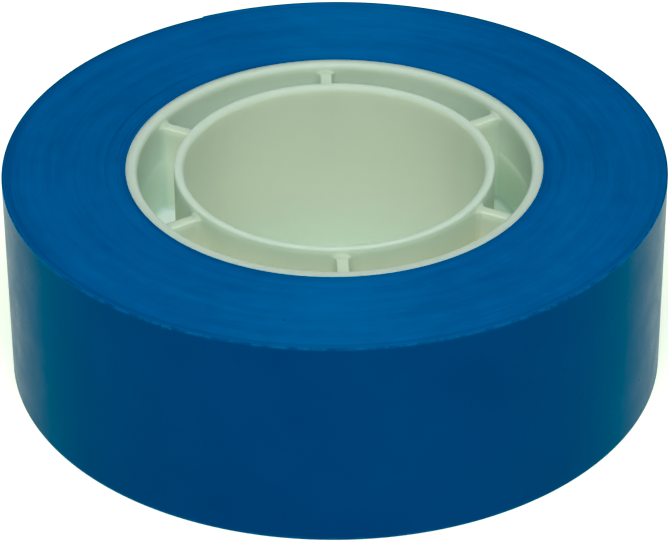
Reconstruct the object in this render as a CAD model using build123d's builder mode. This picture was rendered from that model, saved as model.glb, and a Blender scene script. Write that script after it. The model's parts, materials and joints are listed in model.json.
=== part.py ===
from build123d import *
import os

os.makedirs("parts", exist_ok=True)

# The frame: the roll's axis is Z, and its lower face lies on the XY plane.

# Tape: one strip, a film with an adhesive coat on its inner side, wound on the core.
tape_width = 19.0
film_thickness = 0.12
adhesive_thickness = 0.03
layer = film_thickness + adhesive_thickness
roll_diameter = 57.4

# The last turns stand a little proud of the others, as on a roll wound again by hand.
raised_turns = 4
raise_height = 0.05

# The loose end lies on the roll. It bends at a line across the strip every few degrees.
tail_end_angle = 115.0
tail_segments = 7
segment_angle = 7.0
peel_gap = 0.01

# Core: two rings joined by ribs, and by one web at half height.
core_diameter = 36.0
bore_diameter = 26.0
inner_wall = 0.85
outer_wall = 1.0
web_thickness = 0.8
rib_count = 6
rib_thickness = 1.0
first_rib_angle = 32.5
rib_recess = 0.75
wall_step = 0.1
wall_step_depth = 4.3
pocket_corner = 0.5
bore_edge_round = 0.5
pocket_edge_round = 0.45
ring_edge_round = 0.25
position_tolerance = 0.001

core_radius = core_diameter / 2
bore_radius = bore_diameter / 2
inner_ring_radius = bore_radius + inner_wall
outer_ring_radius = core_radius - outer_wall
gap_middle_radius = (inner_ring_radius + outer_ring_radius) / 2
web_top = (tape_width + web_thickness) / 2
rib_top = tape_width - rib_recess
step_height = tape_width - wall_step_depth

# A wound boundary is a spiral of two half circles. It starts at its first radius, just past
# the loose end's edge, and is one layer further out when it comes round again.
spiral_centre = (layer / 2, 0)
last_turn_start = roll_diameter / 2 - 1.5 * layer
raised_start = last_turn_start - raised_turns * layer
tail_angle = tail_segments * segment_angle
peel_angle = 360 - tail_angle
tail_outer_radius = last_turn_start + 1.5 * layer
tail_inner_radius = last_turn_start + 0.5 * layer + peel_gap
tail_coat_radius = tail_outer_radius - film_thickness

# Planes turned so that their X axis passes through the loose end's edge.
low_winding = Plane.XY.rotated((0, 0, tail_end_angle))
raised_winding = low_winding.offset(raise_height)


def half_turn(start):
    """The first half circle of a boundary, in the open BuildLine."""
    return CenterArc((0, 0), start, 0, 180)


def later_arc(start, sweep):
    """The boundary's second arc, which runs on from the first half circle."""
    return CenterArc(spiral_centre, start + layer / 2, 180, sweep)


def full_boundary(start, mode=Mode.ADD):
    """All that a boundary encloses, with a step of one layer at the loose end's edge."""
    with BuildLine() as outline:
        first = half_turn(start)
        second = later_arc(start, 180)
        Line(second @ 1, first @ 0)
    make_face(outline.edges(), mode=mode)


def last_turn_section(inner_start, outer_start):
    """A layer of the last turn, as far as the line where the loose end begins to lift."""
    with BuildLine() as outline:
        outer_half = half_turn(outer_start)
        outer_rest = later_arc(outer_start, peel_angle - 180)
        inner_half = half_turn(inner_start)
        inner_rest = later_arc(inner_start, peel_angle - 180)
        Line(outer_rest @ 1, inner_rest @ 1)
        Line(inner_half @ 0, outer_half @ 0)
    make_face(outline.edges())


def tail_section(index, inner_radius, outer_radius):
    """One segment of the loose end, counted from the peel line."""
    start = peel_angle + index * segment_angle
    with BuildLine() as outline:
        outer = CenterArc(spiral_centre, outer_radius, start, segment_angle)
        inner = CenterArc(spiral_centre, inner_radius, start, segment_angle)
        Line(outer @ 0, inner @ 0)
        Line(outer @ 1, inner @ 1)
    make_face(outline.edges())


def ring_section(inner_radius, outer_radius):
    """A plain ring, in the open BuildSketch."""
    Circle(outer_radius)
    Circle(inner_radius, mode=Mode.SUBTRACT)


def cut_pockets(low, high, wall_radius):
    """Cut the spaces between the ribs, from one height to another, in the open BuildPart."""
    with BuildSketch(Plane.XY.offset(low)) as pockets:
        ring_section(inner_ring_radius, wall_radius)
        with PolarLocations(gap_middle_radius, rib_count, start_angle=first_rib_angle):
            Rectangle(core_radius - bore_radius, rib_thickness, mode=Mode.SUBTRACT)
        fillet(pockets.vertices(), pocket_corner)
    extrude(pockets.sketch, amount=high - low, mode=Mode.SUBTRACT)


def rim_corners(section, radius):
    """The corners of the core's section at this radius on the two end faces."""
    def wanted(corner):
        at_an_end = min(abs(corner.Y), abs(corner.Y - tape_width)) < position_tolerance
        return at_an_end and abs(corner.X - radius) < position_tolerance

    return section.vertices().filter_by(wanted)


def finish(piece, name):
    """Label a finished piece and write its STEP file."""
    piece.part.label = name
    export_step(piece.part, "parts/" + name + ".step")


# Moulded core, the same on both ends.
with BuildPart() as core:
    with BuildSketch(Plane.XZ) as core_section:
        with Locations((bore_radius, 0)):
            Rectangle(core_radius - bore_radius, tape_width, align=(Align.MIN, Align.MIN))
        with Locations((inner_ring_radius, 0), (inner_ring_radius, rib_top)):
            Rectangle(
                outer_ring_radius - inner_ring_radius,
                rib_recess,
                align=(Align.MIN, Align.MIN),
                mode=Mode.SUBTRACT,
            )
        fillet(rim_corners(core_section, bore_radius), bore_edge_round)
        fillet(rim_corners(core_section, outer_ring_radius), pocket_edge_round)
        fillet(rim_corners(core_section, inner_ring_radius), ring_edge_round)
    revolve(axis=Axis.Z)
    cut_pockets(step_height, rib_top, outer_ring_radius)
    cut_pockets(web_top, step_height, outer_ring_radius - wall_step)
    cut_pockets(tape_width - step_height, tape_width - web_top, outer_ring_radius - wall_step)
    cut_pockets(rib_recess, tape_width - step_height, outer_ring_radius)
finish(core, "core")

# All the wound turns that lie level with the core.
with BuildPart() as tape_turns:
    with BuildSketch(low_winding):
        full_boundary(raised_start)
        Circle(core_radius, mode=Mode.SUBTRACT)
    extrude(amount=tape_width)
finish(tape_turns, "tape_turns")

# The raised turns under the last one.
with BuildPart() as raised_tape_turns:
    with BuildSketch(raised_winding):
        full_boundary(last_turn_start)
        full_boundary(raised_start, mode=Mode.SUBTRACT)
    extrude(amount=tape_width)
finish(raised_tape_turns, "raised_turns")

# The last turn, up to the peel line: adhesive inside, film outside.
with BuildPart() as last_turn_adhesive:
    with BuildSketch(raised_winding):
        last_turn_section(last_turn_start, last_turn_start + adhesive_thickness)
    extrude(amount=tape_width)
finish(last_turn_adhesive, "last_turn_adhesive")

with BuildPart() as last_turn_film:
    with BuildSketch(raised_winding):
        last_turn_section(last_turn_start + adhesive_thickness, last_turn_start + layer)
    extrude(amount=tape_width)
finish(last_turn_film, "last_turn_film")

# The loose end, as short segments from the peel line to the cut edge.
for index in range(tail_segments):
    with BuildPart() as tail_adhesive:
        with BuildSketch(raised_winding):
            tail_section(index, tail_inner_radius, tail_coat_radius)
        extrude(amount=tape_width)
    finish(tail_adhesive, f"tail_adhesive_{index + 1}")

    with BuildPart() as tail_film:
        with BuildSketch(raised_winding):
            tail_section(index, tail_coat_radius, tail_outer_radius)
        extrude(amount=tape_width)
    finish(tail_film, f"tail_film_{index + 1}")
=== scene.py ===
from collections import namedtuple
import json
import math

import bmesh
import bpy
import numpy as np
from mathutils import Matrix, Vector


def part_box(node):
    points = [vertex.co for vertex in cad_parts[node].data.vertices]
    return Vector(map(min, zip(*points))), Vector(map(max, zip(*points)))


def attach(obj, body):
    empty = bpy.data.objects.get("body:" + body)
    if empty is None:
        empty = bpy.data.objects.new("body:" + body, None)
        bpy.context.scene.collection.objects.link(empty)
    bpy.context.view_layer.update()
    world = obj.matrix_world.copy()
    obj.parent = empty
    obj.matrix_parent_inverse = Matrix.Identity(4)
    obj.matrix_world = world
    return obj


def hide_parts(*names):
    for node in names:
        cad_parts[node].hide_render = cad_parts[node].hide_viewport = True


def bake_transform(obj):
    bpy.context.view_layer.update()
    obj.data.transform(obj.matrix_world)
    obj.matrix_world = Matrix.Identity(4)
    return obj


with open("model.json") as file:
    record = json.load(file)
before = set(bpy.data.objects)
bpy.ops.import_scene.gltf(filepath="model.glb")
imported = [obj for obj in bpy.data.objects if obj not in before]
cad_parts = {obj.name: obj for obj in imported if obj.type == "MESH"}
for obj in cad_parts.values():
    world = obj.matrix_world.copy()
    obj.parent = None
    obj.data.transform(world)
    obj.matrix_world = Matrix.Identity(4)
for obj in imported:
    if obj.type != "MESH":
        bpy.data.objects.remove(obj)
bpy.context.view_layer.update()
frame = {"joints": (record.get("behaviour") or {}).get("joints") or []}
rng = np.random.default_rng(19)

# ---------------------------------------------------------------- driving dimensions
MM = 0.001
TURN = 2 * math.pi
HALF_TURN = math.pi
QUARTER_TURN = math.pi / 2

# The wound strip, as in the part's source.
FILM = 0.12 * MM
ADHESIVE = 0.03 * MM
LAYER = FILM + ADHESIVE
RAISED_TURNS = 4
TAIL_END = math.radians(115)
SEGMENTS = 7
SEGMENT_ANGLE = math.radians(7)
PEEL_ANGLE = TURN - SEGMENTS * SEGMENT_ANGLE
PEEL_GAP = 0.01 * MM

# The core, as in the part's source.
BORE_RADIUS = 13.0 * MM
INNER_RING_RADIUS = 13.85 * MM
OUTER_RING_RADIUS = 17.0 * MM
RIBS = 6
RIB_PITCH = TURN / RIBS
FIRST_RIB = math.radians(32.5)
HALF_RIB = 0.5 * MM
RIB_RECESS = 0.75 * MM
HALF_WEB = 0.4 * MM
WALL_STEP = 0.1 * MM
STEP_DEPTH = 4.3 * MM
POCKET_CORNER = 0.5 * MM
BORE_EDGE = 0.5 * MM
RING_EDGE = 0.25 * MM
POCKET_EDGE = 0.45 * MM

# Smaller roundings that only this model has.
RIB_EDGE = 0.14 * MM
RIB_FLARE = 0.25 * MM
FLARE_REACH = 0.45 * MM
WEB_EDGE = 0.3 * MM
STEP_EDGE = 0.3 * MM
OUTER_EDGE = 0.06 * MM
FILM_EDGE = 0.035 * MM
COAT_EDGE = 0.008 * MM
TAIL_COAT_EDGE = 0.006 * MM

# The cut edge of the loose end: how far it is pale, how ragged it is, and how far that reaches.
PALE_CUT = 0.3 * MM
RAGGED_CUT = 0.25 * MM
TEAR_REACH = 0.4 * SEGMENT_ANGLE

# Sunk turns lie lower than the others, over about this many turns. Those of the raised ring are
# nearly level on one side of the roll.
SUNK_SPREAD = 0.8
SUNK_LIMIT = 1.6
CALM_SIDE = math.radians(45)

# How finely the shapes are divided.
CORNER_STEPS = 5
POCKET_COLUMNS = 22
RIB_SHARES = np.array([-1, -0.5, 0, 0.5, 1])
LAST_TURN_COLUMNS = 720
SEGMENT_COLUMNS = 29
STRIP_ROWS = 24
LAST_COAT_ROWS = 4
SLIVER_STATIONS = 7

# What the frame gives.
core_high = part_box("core")[1]
film_low, film_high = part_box("last_turn_film")
raised_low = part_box("raised_turns")[0]
CORE_RADIUS = core_high.x
WIDTH = core_high.z
LAST_START = -raised_low.y
RAISED_START = LAST_START - RAISED_TURNS * LAYER
LEVEL_TURNS = math.floor((RAISED_START - CORE_RADIUS) / LAYER) + 1

# Heights on the core, whose lower half mirrors the upper one.
MIDDLE = WIDTH / 2
RIB_TOP = WIDTH - RIB_RECESS
LEDGE = WIDTH - STEP_DEPTH
WEB_TOP = MIDDLE + HALF_WEB


# ---------------------------------------------------------------- meshes
def new_piece(name, points, faces, material, weld=0.0):
    """An object from points and faces, with its faces turned outwards."""
    mesh = bpy.data.meshes.new(name)
    mesh.from_pydata(np.asarray(points).reshape(-1, 3).tolist(), [], faces)
    shape = bmesh.new()
    shape.from_mesh(mesh)
    if weld:
        bmesh.ops.remove_doubles(shape, verts=shape.verts, dist=weld)
    bmesh.ops.recalc_face_normals(shape, faces=shape.faces)
    shape.to_mesh(mesh)
    shape.free()
    mesh.materials.append(material)
    piece = bpy.data.objects.new(name, mesh)
    bpy.context.scene.collection.objects.link(piece)
    return piece


def store(piece, name, values):
    """Keep one number for each point, for the material to read."""
    attribute = piece.data.attributes.new(name, "FLOAT", "POINT")
    attribute.data.foreach_set("value", np.asarray(values, np.float32).ravel())


def smooth(piece, crease):
    """Shade smoothly, apart from edges that turn by more than crease degrees."""
    piece.data.shade_smooth()
    piece.data.set_sharp_from_angle(angle=math.radians(crease))


def turned_points(radius, angle, height):
    """Points at these radii, angles from the row's +X, and heights."""
    radius, angle, height = np.broadcast_arrays(radius, angle, height)
    return np.stack([radius * np.cos(angle), radius * np.sin(angle), height], axis=-1)


def on_row(radius, degrees, height):
    """One point, by its angle from the row's +X in degrees."""
    return turned_points(radius, math.radians(degrees), height)


# ---------------------------------------------------------------- the spiral
def grown(angle):
    """Share of a layer that a boundary has gained at this angle past the loose end."""
    return np.where(angle <= HALF_TURN, 0.0, (1 + np.cos(angle)) / 2)


def spiral_radius(start, swept):
    """Radius of a boundary that begins at start, after sweeping this many radians."""
    turns = np.floor(swept / TURN + 1e-9)
    return start + LAYER * (turns + grown(swept - turns * TURN))


def around(radius, angle, height):
    """Points at these radii, angles past the loose end, and heights."""
    return turned_points(radius, angle + TAIL_END, height)


def wander(swept, slowest, fastest, waves=24):
    """Smooth random drift along the strip, about -1 to 1, in waves per turn."""
    total = np.zeros_like(swept)
    for rate in rng.uniform(slowest, fastest, waves):
        total += np.sin(rate * swept + rng.uniform(0, TURN))
    return total / math.sqrt(waves / 2) / 2


# ---------------------------------------------------------------- rings of wound layers
# A ring's first radius, its turns and heights, the columns in a turn, its deepest usual drop and
# the grooves between layers. A sunk turn is given by the turns outside it and its extra drop, as
# a share of the deepest. calm is the share of it that is lost on the calm side.
Winding = namedtuple("Winding", "start turns low high columns deepest groove sunk_turns calm")


def wound_edge(swept, winding, rim, inward):
    """Heights of the grooves and the crests on one face, and a lightness for painted shade on sunk
    crests.
    """
    columns, deepest = winding.columns, winding.deepest
    along = swept[:-columns]
    outside = (along[-1] - along) / TURN
    share = 0.3 + 0.2 * wander(along, 0.02, 0.25) + 0.25 * wander(along, 0.3, 3.3)
    calmed = ((1 + np.cos(along + TAIL_END - CALM_SIDE)) / 2) ** 1.5
    for turns_outside, extra in winding.sunk_turns:
        near = np.exp(-((outside - turns_outside) / SUNK_SPREAD) ** 2)
        share = share + extra * (1 - winding.calm * calmed) * near
    drop = deepest * np.clip(share, 0, SUNK_LIMIT)
    before = np.concatenate([np.full(columns, drop[0]), drop])
    after = np.concatenate([drop, np.full(columns, drop[-1])])
    valley = np.maximum(before, after) + winding.groove
    # Painted shade: crests sunk deeper than usual get a darker colour.
    painted_lightness = 1 - 0.9 * np.clip(drop / deepest - 0.6, 0, 1)
    return rim - inward * valley, rim - inward * drop, painted_lightness


def wound_faces(count, columns):
    """The quads of both ridged faces, the inner and the outer wall, then the two end steps."""
    boundary = count + columns + 1
    painted_lightness_rows = count + 1
    face_points = boundary + 2 * painted_lightness_rows
    along = np.arange(count)
    quads = []
    for base in (0, face_points):
        inner, outer = base + along, base + along + columns
        rise, fall = inner + boundary, inner + boundary + painted_lightness_rows
        for a, b in ((inner, rise), (rise, fall), (fall, outer)):
            quads.append(np.stack([a, a + 1, b + 1, b], axis=1))
    for wall in (np.arange(columns), np.arange(count, count + columns)):
        quads.append(np.stack([wall, wall + 1, wall + 1 + face_points, wall + face_points], axis=1))
    steps = []
    for at in (0, count):
        upper = [at, boundary + at, boundary + at + painted_lightness_rows, at + columns]
        steps.append(upper + [face_points + i for i in reversed(upper)])
    return np.concatenate(quads).tolist() + steps


def wound_turns(name, winding, edge_material, wall_material):
    """A closed ring of wound layers: fine ridges with painted shade in the grooves on both faces, film
    on the outer wall.
    """
    columns = winding.columns
    count = winding.turns * columns
    swept = np.arange(count + columns + 1) * TURN / columns
    radius = np.maximum(spiral_radius(winding.start, swept), CORE_RADIUS)
    inner, outer = radius[:count + 1], radius[columns:]
    shoulder = 0.2 * LAYER
    points, painted_lightness_rows = [], []
    for rim, inward in ((winding.high, 1), (winding.low, -1)):
        valley, crest, painted_lightness = wound_edge(swept, winding, rim, inward)
        points += [
            around(radius, swept, valley),
            around(inner + shoulder, swept[:count + 1], crest),
            around(outer - shoulder, swept[:count + 1], crest),
        ]
        painted_lightness_rows += [np.zeros(len(radius)), painted_lightness, painted_lightness]
    faces = wound_faces(count, columns)
    piece = new_piece(name, np.concatenate(points), faces, edge_material)
    # The "crest" attribute holds the painted shade: 0 in the grooves, less than 1 on sunk crests.
    store(piece, "crest", np.concatenate(painted_lightness_rows))
    piece.data.materials.append(wall_material)
    first = 6 * count + columns
    for face in piece.data.polygons[first:first + columns]:
        face.material_index = 1
    smooth(piece, 60)
    return piece


# ---------------------------------------------------------------- film and adhesive
def rounded_section(thickness, edge, rows):
    """A strip's section as depths below its outer side and heights, and how worn each is."""
    low, high = film_low.z, film_high.z
    bend = np.linspace(0, QUARTER_TURN, 4)[1:]
    side = np.linspace(low + 8 * edge, high - 8 * edge, rows)
    side = np.concatenate([[low + edge, low + 4 * edge], side, [high - 4 * edge, high - edge]])
    lower_bend, upper_bend = bend[::-1], bend
    depth = np.concatenate([
        edge * (1 - np.cos(lower_bend)),
        np.zeros(len(side)),
        edge * (1 - np.cos(upper_bend)),
        [thickness, thickness],
    ])
    height = np.concatenate([
        low + edge * (1 - np.sin(lower_bend)),
        side,
        high - edge * (1 - np.sin(upper_bend)),
        [high, low],
    ])
    worn = np.ones(len(depth))
    first = len(bend) + 1
    worn[first:first + rows + 2] = 0
    worn[[first, first + rows + 1]] = 0.5
    return depth, height, worn


def torn_line(share):
    """How far a torn edge falls back, from 0 to 1, at these shares of the tape's width."""
    return 0.5 + 0.3 * np.sin(9 * share + 1) + 0.2 * np.sin(31 * share)


def strip(name, angles, outer, thickness, edge, rows, material, ragged=0.0):
    """A closed piece of strip between two angles, with rounded edges, and a ragged end if asked."""
    depth, height, worn = rounded_section(thickness, edge, rows)
    size = len(depth)
    shift = np.zeros((len(angles), size))
    wear = np.tile(worn, (len(angles), 1))
    if ragged:
        to_cut = (angles[-1] - angles)[:, None]
        wear = np.maximum(wear, np.clip(1.4 - to_cut * outer.mean() / PALE_CUT, 0, 1))
        near_cut = np.clip(1 - to_cut / TEAR_REACH, 0, 1)
        shift = -near_cut * ragged / outer.mean() * torn_line((height - film_low.z) / WIDTH)
    points = around(outer[:, None] - depth, angles[:, None] + shift, height)
    ring = np.arange(size)
    faces = []
    for start in range(0, (len(angles) - 1) * size, size):
        a, b = start + ring, start + np.roll(ring, -1)
        faces += np.stack([a, b, b + size, a + size], axis=1).tolist()
    last = (len(angles) - 1) * size
    faces += [ring[::-1].tolist(), (last + ring).tolist()]
    piece = new_piece(name, points, faces, material)
    store(piece, "worn", wear)
    smooth(piece, 40)
    return piece


# ---------------------------------------------------------------- loose fibres and grains
def spindle(first, middle, last, width):
    """Rings of four points along a curve from first to last, which middle draws to its side."""
    share = np.linspace(0, 1, SLIVER_STATIONS)[:, None]
    line = (1 - share) ** 2 * first + 2 * share * (1 - share) * middle + share ** 2 * last
    ahead = np.gradient(line, axis=0)
    ahead /= np.linalg.norm(ahead, axis=1, keepdims=True)
    side = np.cross(ahead, (0.3, 0.2, 1.0))
    side /= np.linalg.norm(side, axis=1, keepdims=True)
    over = np.cross(side, ahead)
    reach = width / 2 * (0.2 + 0.8 * np.sin(HALF_TURN * share))
    corners = [line + reach * (math.cos(turned) * side + 0.6 * math.sin(turned) * over)
               for turned in np.arange(4) * QUARTER_TURN]
    return np.stack(corners, axis=1).reshape(-1, 3)


def slivers(name, routes, width, material):
    """Thin closed spindles as one piece, each along a route of three points."""
    points, faces = [], []
    for route in routes:
        base = 4 * SLIVER_STATIONS * len(points)
        end = base + 4 * (SLIVER_STATIONS - 1)
        points.append(spindle(*route, width))
        for at in range(base, end, 4):
            for k in range(4):
                beside = (k + 1) % 4
                faces.append([at + k, at + beside, at + 4 + beside, at + 4 + k])
        faces += [[base + 3, base + 2, base + 1, base], [end, end + 1, end + 2, end + 3]]
    piece = new_piece(name, np.concatenate(points), faces, material)
    piece.data.shade_smooth()
    return piece


def frayed_rim(degrees, spread, count):
    """Routes of fibres that hang from the rim of the last turn around one place."""
    radius = LAST_START + LAYER
    routes = []
    for _ in range(count):
        start = degrees + rng.uniform(-spread, spread)
        lean = rng.uniform(-0.9, 0.9)
        fall = rng.uniform(0.1, 0.4) * MM
        routes.append((
            on_row(radius - 0.02 * MM, start, film_high.z - 0.01 * MM),
            on_row(radius + 0.05 * MM, start + 0.3 * lean, film_high.z - 0.3 * fall),
            on_row(radius + 0.03 * MM, start + lean, film_high.z - fall),
        ))
    return routes


def lying(surface, rise, *stations):
    """The route of a sliver on a surface, through three stations of radius in mm and degrees."""
    heights = (surface, surface + rise, surface)
    return [on_row(radius * MM, degrees, height)
            for (radius, degrees), height in zip(stations, heights)]


# ---------------------------------------------------------------- node materials
class Shader:
    """A material's node tree, built in order."""

    def __init__(self, name):
        self.material = bpy.data.materials.new(name)
        self.material.use_nodes = True
        self.tree = self.material.node_tree
        self.surface = self.tree.nodes["Principled BSDF"]
        coordinates = self.tree.nodes.new("ShaderNodeTexCoord")
        self.place = coordinates.outputs["Object"]

    def node(self, kind, settings=None, **inputs):
        """A new node. An input's name has _ where its socket's name has a space."""
        made = self.tree.nodes.new(kind)
        for key, value in (settings or {}).items():
            setattr(made, key, value)
        for key, value in inputs.items():
            self.put(made.inputs[key.replace("_", " ")], value)
        return made

    def put(self, socket, value):
        """Link an output to a socket, or set the socket to a constant."""
        if isinstance(value, bpy.types.NodeSocket):
            self.tree.links.new(value, socket)
        else:
            socket.default_value = value

    def maths(self, operation, *values):
        """Arithmetic on numbers."""
        made = self.node("ShaderNodeMath", {"operation": operation})
        for socket, value in zip(made.inputs, values):
            self.put(socket, value)
        return made.outputs[0]

    def vector(self, operation, *values):
        """Arithmetic on vectors, which gives a number for a length."""
        made = self.node("ShaderNodeVectorMath", {"operation": operation})
        for socket, value in zip(made.inputs, values):
            self.put(socket, value)
        return made.outputs["Value" if operation == "LENGTH" else "Vector"]

    def noise(self, where, scale, detail=3.0, roughness=0.55):
        """Soft random cloud, about 0 to 1."""
        made = self.node("ShaderNodeTexNoise", Vector=where, Scale=scale, Detail=detail,
                         Roughness=roughness)
        return made.outputs[0]

    def span(self, value, low, high, new_low=0.0, new_high=1.0):
        """The value, stretched from low..high to new_low..new_high and held within them."""
        made = self.node("ShaderNodeMapRange", From_Min=low, From_Max=high, To_Min=new_low,
                         To_Max=new_high, Value=value)
        return made.outputs[0]

    def mix(self, factor, first, second):
        """A colour between two, the second one where the factor is 1."""
        made = self.node("ShaderNodeMix", {"data_type": "RGBA"}, Factor=factor)
        for socket, value in zip([s for s in made.inputs if s.type == "RGBA"], (first, second)):
            self.put(socket, value)
        return [s for s in made.outputs if s.type == "RGBA"][0]

    def sum(self, *weighted):
        """The sum of values times their weights."""
        total = 0.0
        for value, weight in weighted:
            total = self.maths("ADD", total, self.maths("MULTIPLY", value, weight))
        return total

    def read(self, name):
        """The number that store() kept for each point."""
        made = self.node("ShaderNodeAttribute", {"attribute_name": name})
        return made.outputs["Fac"]

    def bump(self, height, distance, strength=1.0):
        """Tilt the surface as if it rose and fell by distance."""
        made = self.node("ShaderNodeBump", Height=height, Distance=distance, Strength=strength)
        self.put(self.surface.inputs["Normal"], made.outputs[0])

    def set(self, **inputs):
        """Set or link the surface's own inputs."""
        for key, value in inputs.items():
            self.put(self.surface.inputs[key.replace("_", " ")], value)

    def radial(self):
        """The distance from the roll's axis, and the direction from it."""
        flat = self.vector("MULTIPLY", self.place, (1, 1, 0))
        return self.vector("LENGTH", flat), self.vector("NORMALIZE", flat)

    def rings(self, per_millimetre, around_turn):
        """A place for noise that is stretched into rings about the roll's axis."""
        radius, direction = self.radial()
        flat = self.vector("MULTIPLY", direction, (around_turn, around_turn, 0))
        parts = self.node("ShaderNodeSeparateXYZ", Vector=flat)
        across = self.maths("MULTIPLY", radius, per_millimetre / MM)
        made = self.node("ShaderNodeCombineXYZ", X=parts.outputs["X"], Y=parts.outputs["Y"], Z=across)
        return made.outputs[0]


def rgb(red, green, blue):
    """An opaque colour."""
    return (red, green, blue, 1.0)


def wound_edge_material():
    """The edges of many layers: broad and fine rings, patches, pale torn fibres, and painted shade in
    the grooves.
    """
    shader = Shader("wound_tape_edge")
    dark, light = rgb(0.0, 0.06, 0.208), rgb(0.0, 0.088, 0.272)
    pale_fibre, painted_groove_shade = rgb(0.004, 0.15, 0.36), rgb(0.0, 0.04, 0.15)
    fine = shader.noise(shader.rings(3.2, 7.0), 1.0, 3.0, 0.6)
    broad = shader.noise(shader.rings(0.8, 1.2), 1.0, 2.0)
    patches = shader.noise(shader.place, 420.0, 4.0, 0.6)
    large = shader.noise(shader.place, 90.0, 2.0)
    fibres = shader.noise(shader.rings(5.0, 24.0), 1.0, 2.0)
    tone = shader.sum((fine, 0.2), (broad, 0.35), (patches, 0.25), (large, 0.2))
    base = shader.mix(shader.span(tone, 0.38, 0.62), dark, light)
    base = shader.mix(shader.span(fibres, 0.72, 0.8, 0, 0.5), base, pale_fibre)
    # Painted shade: darker in the grooves between layers and on sunk crests.
    groove = shader.span(shader.read("crest"), 0.0, 1.0, 0.5, 0.0)
    shader.set(Base_Color=shader.mix(groove, base, painted_groove_shade),
               Roughness=shader.span(fine, 0.3, 0.7, 0.7, 0.8),
               Specular_IOR_Level=0.35, Specular_Tint=rgb(0.02, 0.6, 1.0),
               Anisotropic=0.9, Anisotropic_Rotation=0.25)
    around_axis = shader.node("ShaderNodeTangent", {"direction_type": "RADIAL", "axis": "Z"})
    shader.set(Tangent=around_axis.outputs[0])
    shader.bump(shader.maths("ADD", patches, fine), 0.02 * MM, 0.6)
    return shader.material


def film_material():
    """Smooth film with a faint mottle, and a paler cut edge."""
    shader = Shader("blue_tape_film")
    cloud = shader.noise(shader.place, 90.0)
    base = shader.mix(shader.span(cloud, 0.3, 0.7), rgb(0.0, 0.032, 0.132), rgb(0.0, 0.038, 0.15))
    nicks = shader.noise(shader.place, 900.0, 3.0, 0.7)
    worn = shader.maths("MULTIPLY", shader.read("worn"), shader.span(nicks, 0.42, 0.58, 0.25, 1.0))
    gloss = shader.noise(shader.place, 400.0)
    shader.set(Base_Color=shader.mix(worn, base, rgb(0.006, 0.085, 0.245)),
               Roughness=shader.span(gloss, 0.3, 0.7, 0.26, 0.34),
               Specular_IOR_Level=0.043, Specular_Tint=rgb(0.02, 0.5, 1.0))
    shader.bump(shader.noise(shader.place, 700.0, 2.0), 0.002 * MM)
    return shader.material


def fibre_material():
    """Film that was stretched until it turned pale."""
    shader = Shader("pale_torn_film")
    cloud = shader.noise(shader.place, 2000.0, 2.0)
    shader.set(Base_Color=shader.mix(cloud, rgb(0.02, 0.12, 0.24), rgb(0.05, 0.19, 0.3)),
               Roughness=shader.span(cloud, 0.3, 0.7, 0.5, 0.7), Specular_IOR_Level=0.2)
    return shader.material


def adhesive_material():
    """Blotched adhesive, a little darker than the film."""
    shader = Shader("tape_adhesive")
    blotch = shader.noise(shader.place, 500.0, 4.0)
    shader.set(Base_Color=shader.mix(blotch, rgb(0.0, 0.028, 0.105), rgb(0.0, 0.042, 0.15)),
               Roughness=shader.span(blotch, 0.3, 0.7, 0.3, 0.5), Specular_IOR_Level=0.25)
    shader.bump(blotch, 0.01 * MM)
    return shader.material


def pocket_painted_light_and_tint(shader, radius, across, from_middle):
    """The colour deep in the pockets: greener by the tape, painted light palest on the web, painted
    shade at +X.
    """
    by_tape = shader.span(radius, 15.0 * MM, OUTER_RING_RADIUS)
    # Painted shade: the walls and the web are darker towards +X.
    painted_shade_to_right = shader.span(across, -4.0 * MM, 12.0 * MM)
    wall = shader.mix(painted_shade_to_right, rgb(0.64, 0.79, 0.67), rgb(0.59, 0.72, 0.57))
    colour = shader.mix(by_tape, rgb(0.72, 0.72, 0.55), wall)
    # Painted light: a pale pool on the web, brightest towards -X.
    painted_light_on_web = shader.span(from_middle, 1.0 * MM, 0.5 * MM)
    web = shader.mix(painted_shade_to_right, rgb(0.74, 0.9, 0.82), rgb(0.48, 0.62, 0.5))
    return shader.mix(painted_light_on_web, colour, web)


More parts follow.
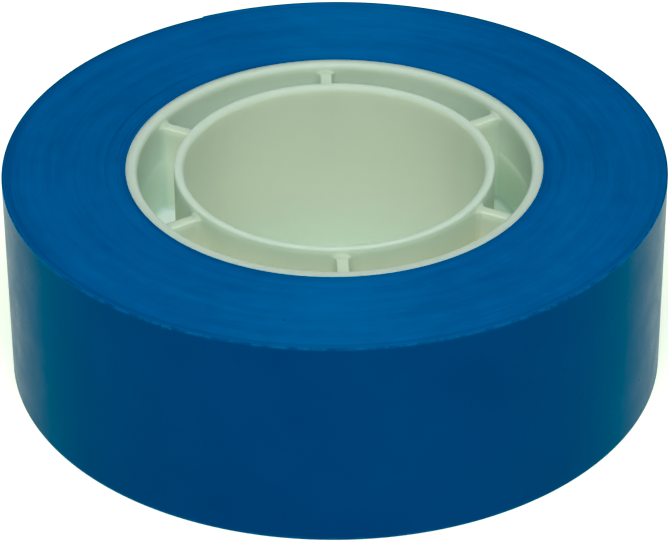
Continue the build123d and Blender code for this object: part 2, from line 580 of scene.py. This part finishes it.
def core_material():
    """Milky plastic. Deep in the pockets painted light pales it, as it passes more light, and the tape
    tints it.
    """
    shader = Shader("pale_core_plastic")
    radius = shader.radial()[0]
    parts = shader.node("ShaderNodeSeparateXYZ", Vector=shader.place)
    across, height = parts.outputs["X"], parts.outputs["Z"]
    from_middle = shader.maths("ABSOLUTE", shader.maths("SUBTRACT", height, MIDDLE))

    cloud = shader.noise(shader.place, 160.0)
    base = shader.mix(shader.span(cloud, 0.3, 0.7), rgb(0.50, 0.565, 0.455), rgb(0.54, 0.605, 0.49))

    in_bore = shader.span(radius, BORE_RADIUS + 0.3 * MM, BORE_RADIUS + 0.05 * MM)
    # Painted shade: the bore is darker towards its bottom.
    painted_low_bore_shade = shader.span(height, 9.0 * MM, 3.0 * MM)
    bore = shader.mix(painted_low_bore_shade, rgb(0.52, 0.56, 0.455), rgb(0.445, 0.515, 0.44))
    base = shader.mix(in_bore, base, bore)

    # Painted shade: the rib tops are darker.
    rib_middle = 15.4 * MM
    beside_rib = shader.maths("ABSOLUTE", shader.maths("SUBTRACT", radius, rib_middle))
    on_rib = shader.maths("MULTIPLY", shader.span(beside_rib, 1.55 * MM, 1.3 * MM),
                          shader.span(from_middle, MIDDLE - 1.1 * MM, MIDDLE - 0.85 * MM))
    base = shader.mix(on_rib, base, rgb(0.43, 0.51, 0.39))

    # Painted shade: the rims are darker.
    painted_rim_shade = shader.span(from_middle, MIDDLE - 0.5 * MM, MIDDLE - 0.15 * MM)
    base = shader.mix(painted_rim_shade, base, rgb(0.42, 0.505, 0.415))

    # Deep in the pockets: the tape's tint, painted light and painted shade.
    in_pocket = shader.span(radius, INNER_RING_RADIUS - 0.3 * MM, INNER_RING_RADIUS - 0.05 * MM)
    sunk = shader.span(from_middle, MIDDLE - 0.7 * MM, MIDDLE - 4.5 * MM)
    base = shader.mix(shader.maths("MULTIPLY", sunk, in_pocket), base,
                      pocket_painted_light_and_tint(shader, radius, across, from_middle))
    shader.set(Base_Color=base, Roughness=shader.span(cloud, 0.3, 0.7, 0.5, 0.62),
               Subsurface_Weight=1.0, Subsurface_Radius=(1.0, 1.1, 0.95), Subsurface_Scale=2.0 * MM,
               Specular_IOR_Level=0.25)
    shader.bump(shader.noise(shader.place, 1500.0, 2.0), 0.004 * MM)
    return shader.material


# ---------------------------------------------------------------- the core
def arc(centre, radius, start, stop, steps):
    """Points along an arc, from one angle to another, in degrees."""
    turned = np.radians(np.linspace(start, stop, steps + 1))
    return [(centre[0] + radius * math.cos(t), centre[1] + radius * math.sin(t)) for t in turned]


def rib_side(wall, inset):
    """A rib's side seen from above: radii, and angles from its middle, from ring to wall."""
    beside = HALF_RIB + POCKET_CORNER
    inner = math.sqrt((INNER_RING_RADIUS + POCKET_CORNER) ** 2 - beside ** 2)
    outer = math.sqrt((wall - POCKET_CORNER) ** 2 - beside ** 2)
    straight = HALF_TURN + QUARTER_TURN
    turned = np.concatenate([
        np.linspace(HALF_TURN + math.atan2(beside, inner), straight, CORNER_STEPS + 1),
        [straight, straight],
        np.linspace(straight, TURN + math.atan2(beside, outer), CORNER_STEPS + 1),
    ])
    along = np.concatenate([
        np.full(CORNER_STEPS + 1, inner),
        np.linspace(inner, outer, 4)[1:-1],
        np.full(CORNER_STEPS + 1, outer),
    ])
    x = along + (POCKET_CORNER - inset) * np.cos(turned)
    y = beside + (POCKET_CORNER - inset) * np.sin(turned)
    return np.hypot(x, y), np.arctan2(y, x)


def corner_share():
    """How much of a rib's top rounding each point of its side takes: none at the rings."""
    ramp = np.sin(np.linspace(0, QUARTER_TURN, CORNER_STEPS + 1)) ** 2
    return np.concatenate([ramp, [1, 1], ramp[::-1]])


def pocket_ring(rib, height, wall, inset):
    """The closed outline of the pocket that follows a rib, at one height."""
    radius, lean = rib_side(wall, inset)
    here = FIRST_RIB + rib * RIB_PITCH
    there = here + RIB_PITCH
    outer = np.linspace(here + lean[-1], there - lean[-1], POCKET_COLUMNS + 1)[1:-1]
    inner = np.linspace(there - lean[0], here + lean[0], POCKET_COLUMNS + 1)[1:-1]
    turned = np.concatenate([here + lean, outer, there - lean[::-1], inner])
    reach = np.concatenate([
        radius,
        np.full_like(outer, radius[-1]),
        radius[::-1],
        np.full_like(inner, radius[0]),
    ])
    return turned_points(reach, turned, height)


def pocket_levels():
    """Heights, wall radii and insets of a pocket's outlines, from the ribs' tops down."""
    levels = []
    for turned in np.linspace(QUARTER_TURN, 0, 4):
        height = RIB_TOP - RIB_EDGE * (1 - math.sin(turned))
        levels.append((height, OUTER_RING_RADIUS, -RIB_EDGE * (1 - math.cos(turned)) * corner_share()))
    for share in (0, 0.33, 0.67, 1):
        wall = OUTER_RING_RADIUS - WALL_STEP * share ** 2 * (3 - 2 * share)
        levels.append((LEDGE + STEP_EDGE * (1 - 2 * share), wall, 0.0))
    for turned in np.linspace(0, QUARTER_TURN, 5):
        height = WEB_TOP + WEB_EDGE * (1 - math.sin(turned))
        levels.append((height, OUTER_RING_RADIUS - WALL_STEP, WEB_EDGE * (1 - math.cos(turned))))
    return levels


def ring_columns(lean):
    """Angles of a ring's columns, and which of them lie in the middle of a rib."""
    turned, on_rib = [], []
    for rib in range(RIBS):
        here = FIRST_RIB + rib * RIB_PITCH
        between = np.linspace(here + lean, here + RIB_PITCH - lean, POCKET_COLUMNS + 1)[1:-1]
        turned += list(here + lean * RIB_SHARES) + list(between)
        on_rib += list(np.abs(RIB_SHARES) < 1) + [False] * len(between)
    return np.array(turned + [turned[0] + TURN]), np.array(on_rib + [on_rib[0]])


class Grids:
    """The points and faces of a shape that is put together from grids of points."""

    def __init__(self):
        self.points = np.empty((0, 3))
        self.faces = []

    def add(self, rows, closed=False):
        """Add faces between rows of points, and give back the points' numbers."""
        rows = np.array(rows)
        height, width = rows.shape[:2]
        index = len(self.points) + np.arange(height * width).reshape(height, width)
        self.points = np.concatenate([self.points, rows.reshape(-1, 3)])
        if closed:
            index = np.concatenate([index, index[:, :1]], axis=1)
        a, b = index[:-1], index[1:]
        quads = np.stack([a[:, :-1], a[:, 1:], b[:, 1:], b[:, :-1]], axis=-1)
        self.faces += quads.reshape(-1, 4).tolist()
        return index


def add_rings(shape, lean):
    """Both rings, turned about the axis. A rib's ends rise a little where they meet them."""
    bore = [(BORE_RADIUS, z) for z in np.linspace(MIDDLE, WIDTH - BORE_EDGE, 5)[:-1]]
    mouth = arc((BORE_RADIUS + BORE_EDGE, WIDTH - BORE_EDGE), BORE_EDGE, 180, 90, 7)
    ring_edge = arc((INNER_RING_RADIUS - RING_EDGE, WIDTH - RING_EDGE), RING_EDGE, 90, 0, 5)
    pocket_edge = arc((OUTER_RING_RADIUS + POCKET_EDGE, WIDTH - POCKET_EDGE), POCKET_EDGE, 180, 90, 7)
    outer_edge = arc((CORE_RADIUS - OUTER_EDGE, WIDTH - OUTER_EDGE), OUTER_EDGE, 90, 0, 2)

    turned, on_rib = ring_columns(lean[0])
    foot = turned_points(INNER_RING_RADIUS, turned, RIB_TOP + RIB_FLARE * on_rib)
    rows = [turned_points(r, turned, z) for r, z in bore + mouth + ring_edge]
    shape.add(rows + [foot])

    turned, on_rib = ring_columns(lean[-1])
    foot = turned_points(OUTER_RING_RADIUS, turned, RIB_TOP + RIB_FLARE * on_rib)
    rows = [turned_points(r, turned, z) for r, z in pocket_edge + outer_edge + [(CORE_RADIUS, MIDDLE)]]
    shape.add([foot] + rows)


def add_rib_tops(shape, radius, lean):
    """The ribs' tops, in rows from the inner ring to the outer one."""
    to_ring = np.minimum(radius - INNER_RING_RADIUS, OUTER_RING_RADIUS - radius)
    flare = RIB_FLARE * np.clip(1 - to_ring / FLARE_REACH, 0, 1) ** 2
    rise = flare[:, None] * (np.abs(RIB_SHARES) < 1)
    for rib in range(RIBS):
        turned = FIRST_RIB + rib * RIB_PITCH + lean[:, None] * RIB_SHARES
        shape.add(turned_points(radius[:, None], turned, RIB_TOP + rise))


def add_pockets(shape, side):
    """The pockets between the ribs, down to the web. side is the number of points beside a rib."""
    arc_points = POCKET_COLUMNS - 1
    far_side = side + arc_points
    for rib in range(RIBS):
        rings = [pocket_ring(rib, *level) for level in pocket_levels()]
        floor = shape.add(rings, closed=True)[-1]
        outward = floor[side - 1:far_side + 1]
        inward = floor[far_side + side - 1:][::-1]
        quads = np.stack([inward[:-1], outward[:-1], outward[1:], inward[1:]], axis=1)
        shape.faces += quads.tolist()
        shape.faces += [floor[:side].tolist(), floor[far_side:far_side + side].tolist()]


def core_moulding(material):
    """Two rings, ribs and a web, with every edge rounded as it comes out of a mould."""
    shape = Grids()
    radius, lean = rib_side(OUTER_RING_RADIUS, -RIB_EDGE * corner_share())
    add_rings(shape, lean)
    add_rib_tops(shape, radius, lean)
    add_pockets(shape, len(radius))
    lower = shape.points * (1, 1, -1) + (0, 0, WIDTH)
    points = np.concatenate([shape.points, lower])
    faces = shape.faces + [[i + len(lower) for i in face] for face in shape.faces]
    piece = new_piece("core_moulding", points, faces, material, weld=0.001 * MM)
    smooth(piece, 50)
    weighted = piece.modifiers.new("flat faces stay flat", "WEIGHTED_NORMAL")
    weighted.keep_sharp = True
    return piece


# ---------------------------------------------------------------- build the roll
wound = wound_edge_material()
film = film_material()
adhesive = adhesive_material()
core = core_moulding(core_material())

level = wound_turns("level_turns", Winding(
    start=RAISED_START - LEVEL_TURNS * LAYER,
    turns=LEVEL_TURNS,
    low=0.0,
    high=WIDTH,
    columns=240,
    deepest=0.05 * MM,
    groove=0.014 * MM,
    sunk_turns=((0.5, 0.4), (6, 0.3), (40, 0.4), (55, 0.6), (62, 0.6), (64, 1.0), (65, 0.8)),
    calm=0.0,
), wound, film)

raised = wound_turns("raised_turns_edge", Winding(
    start=RAISED_START,
    turns=RAISED_TURNS,
    low=film_low.z,
    high=film_high.z,
    columns=360,
    deepest=0.04 * MM,
    groove=0.02 * MM,
    sunk_turns=((1.8, 1.6), (2.6, 1.4), (3.4, 1.3), (0.3, -0.6)),
    calm=0.85,
), wound, film)

turn_angles = np.linspace(0, PEEL_ANGLE, LAST_TURN_COLUMNS)
outer_radius = spiral_radius(LAST_START, turn_angles) + LAYER
last_film = strip("last_turn_film_strip", turn_angles, outer_radius, FILM, FILM_EDGE, STRIP_ROWS,
                  film)
last_coat = strip("last_turn_adhesive_coat", turn_angles, outer_radius - FILM, ADHESIVE, COAT_EDGE,
                  LAST_COAT_ROWS, adhesive)

for piece, node in (
    (core, "core"),
    (level, "tape_turns"),
    (raised, "raised_turns"),
    (last_film, "last_turn_film"),
    (last_coat, "last_turn_adhesive"),
):
    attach(piece, "roll")
    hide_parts(node)

# Small damage: fibres that hang over the rim in two places, two threads and a dark grain.
torn = fibre_material()
FIBRE_WIDTH = 0.05 * MM
GRAIN_WIDTH = 0.12 * MM
raised_top = film_high.z - 0.03 * MM
level_top = WIDTH - 0.02 * MM
hanging = (frayed_rim(degrees=-118.3, spread=1.5, count=9)
           + frayed_rim(degrees=-53, spread=0.4, count=3))
fray = slivers("rim_fray", hanging, FIBRE_WIDTH, torn)
threads = slivers("loose_threads", [
    lying(raised_top, 0.04 * MM, (28.15, -25.5), (28.05, -22), (27.95, -18)),
    lying(level_top, 0.10 * MM, (22.5, -21.2), (22.3, -20.5), (22.2, -19.9)),
], FIBRE_WIDTH, torn)
grain = slivers("dark_grain", [
    lying(level_top, 0.06 * MM, (24.6, -99.9), (24.7, -99.6), (24.75, -99.3)),
], GRAIN_WIDTH, adhesive)
for piece in (fray, threads, grain):
    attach(piece, "roll")

# The loose end: a film strip and an adhesive strip for each segment.
hinges = [Vector(joint["pos_m"]) for joint in frame["joints"]]
cut_radius = float(spiral_radius(LAST_START, TURN)) + LAYER
hinges.append(Vector(around(cut_radius, TURN, hinges[0].z)))
for index in range(SEGMENTS):
    first = PEEL_ANGLE + index * SEGMENT_ANGLE
    angles = np.linspace(first, first + SEGMENT_ANGLE, SEGMENT_COLUMNS)
    outer = spiral_radius(LAST_START, angles) + LAYER
    ragged = RAGGED_CUT if index == SEGMENTS - 1 else 0.0
    for name, surface, thickness, edge, material, slot in (
        ("film", outer, FILM, FILM_EDGE, film, "tape_film"),
        ("adhesive", outer - FILM, ADHESIVE - PEEL_GAP, TAIL_COAT_EDGE, adhesive, "adhesive"),
    ):
        piece = strip(f"tail_{name}_strip_{index + 1}", angles, surface, thickness, edge, STRIP_ROWS,
                      material, ragged)
        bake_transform(piece)
        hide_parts(f"tail_{name}_{index + 1}")


# ---------------------------------------------------------------- floor, light and camera
def pale_floor(half):
    """A white floor just under the roll, which glows a little so that no shadow is deep."""
    shader = Shader("pale_floor")
    shader.set(Base_Color=rgb(0.82, 0.92, 0.72), Roughness=0.8, Specular_IOR_Level=0.1,
               Emission_Color=rgb(0.94, 1.0, 0.94), Emission_Strength=0.34)
    mesh = bpy.data.meshes.new("floor")
    corners = [(-half, -half, 0), (half, -half, 0), (half, half, 0), (-half, half, 0)]
    mesh.from_pydata(corners, [], [(0, 1, 2, 3)])
    mesh.materials.append(shader.material)
    floor = bpy.data.objects.new("floor", mesh)
    floor.location.z = -0.01 * MM
    bpy.context.scene.collection.objects.link(floor)


def softbox(name, azimuth, elevation, brightness, distance=1.1, size=0.7):
    """A square light turned to the roll, which lights a surface facing it by brightness."""
    light = bpy.data.lights.new(name, "AREA")
    light.size = size
    light.energy = brightness * (math.pi * distance) ** 2
    lamp = bpy.data.objects.new(name, light)
    turned, raised = math.radians(azimuth), math.radians(elevation)
    away = Vector((math.cos(turned) * math.cos(raised), math.sin(turned) * math.cos(raised),
                   math.sin(raised)))
    lamp.location = distance * away
    lamp.rotation_euler = away.to_track_quat("Z", "Y").to_euler()
    bpy.context.scene.collection.objects.link(lamp)


def studio_world():
    """Even light from all sides."""
    world = bpy.data.worlds.new("studio")
    world.use_nodes = True
    background = world.node_tree.nodes["Background"]
    background.inputs["Color"].default_value = rgb(0.94, 1.0, 0.97)
    background.inputs["Strength"].default_value = 0.24
    bpy.context.scene.world = world


def view_colours():
    """Clear whites, and a blue in which the darkest reds are lost."""
    view = bpy.context.scene.view_settings
    view.view_transform = "Standard"
    view.use_curve_mapping = True
    view.curve_mapping.black_level = (0.048, 0.0, 0.0)
    view.curve_mapping.update()


def aimed_camera(target, distance, elevation, pitch, yaw, roll):
    """A camera in front of the target, raised by elevation and looking down by pitch."""
    data = bpy.data.cameras.new("camera")
    data.sensor_width = 36.0
    data.lens = 187.87
    data.clip_start = 0.01
    data.clip_end = 20.0
    ahead = Vector((math.sin(yaw) * math.cos(pitch), math.cos(yaw) * math.cos(pitch), -math.sin(pitch)))
    level_right = Vector((math.cos(yaw), -math.sin(yaw), 0))
    level_up = level_right.cross(ahead)
    right = math.cos(roll) * level_right - math.sin(roll) * level_up
    up = math.sin(roll) * level_right + math.cos(roll) * level_up
    place = target + distance * Vector((0, -math.cos(elevation), math.sin(elevation)))
    camera = bpy.data.objects.new("camera", data)
    camera.matrix_world = (Matrix.Translation(place)
                           @ Matrix((right, up, -ahead)).transposed().to_4x4())
    bpy.context.scene.collection.objects.link(camera)
    bpy.context.scene.camera = camera


pale_floor(half=2.0)
softbox("key", azimuth=-94, elevation=60, brightness=1.12)
softbox("fill", azimuth=0, elevation=40, brightness=0.12)
studio_world()
view_colours()
aimed_camera(
    target=Vector((0, 0, WIDTH)),
    distance=300.6 * MM,
    elevation=math.radians(31.23),
    pitch=math.radians(33.03),
    yaw=math.radians(-0.021),
    roll=math.radians(0.38),
)
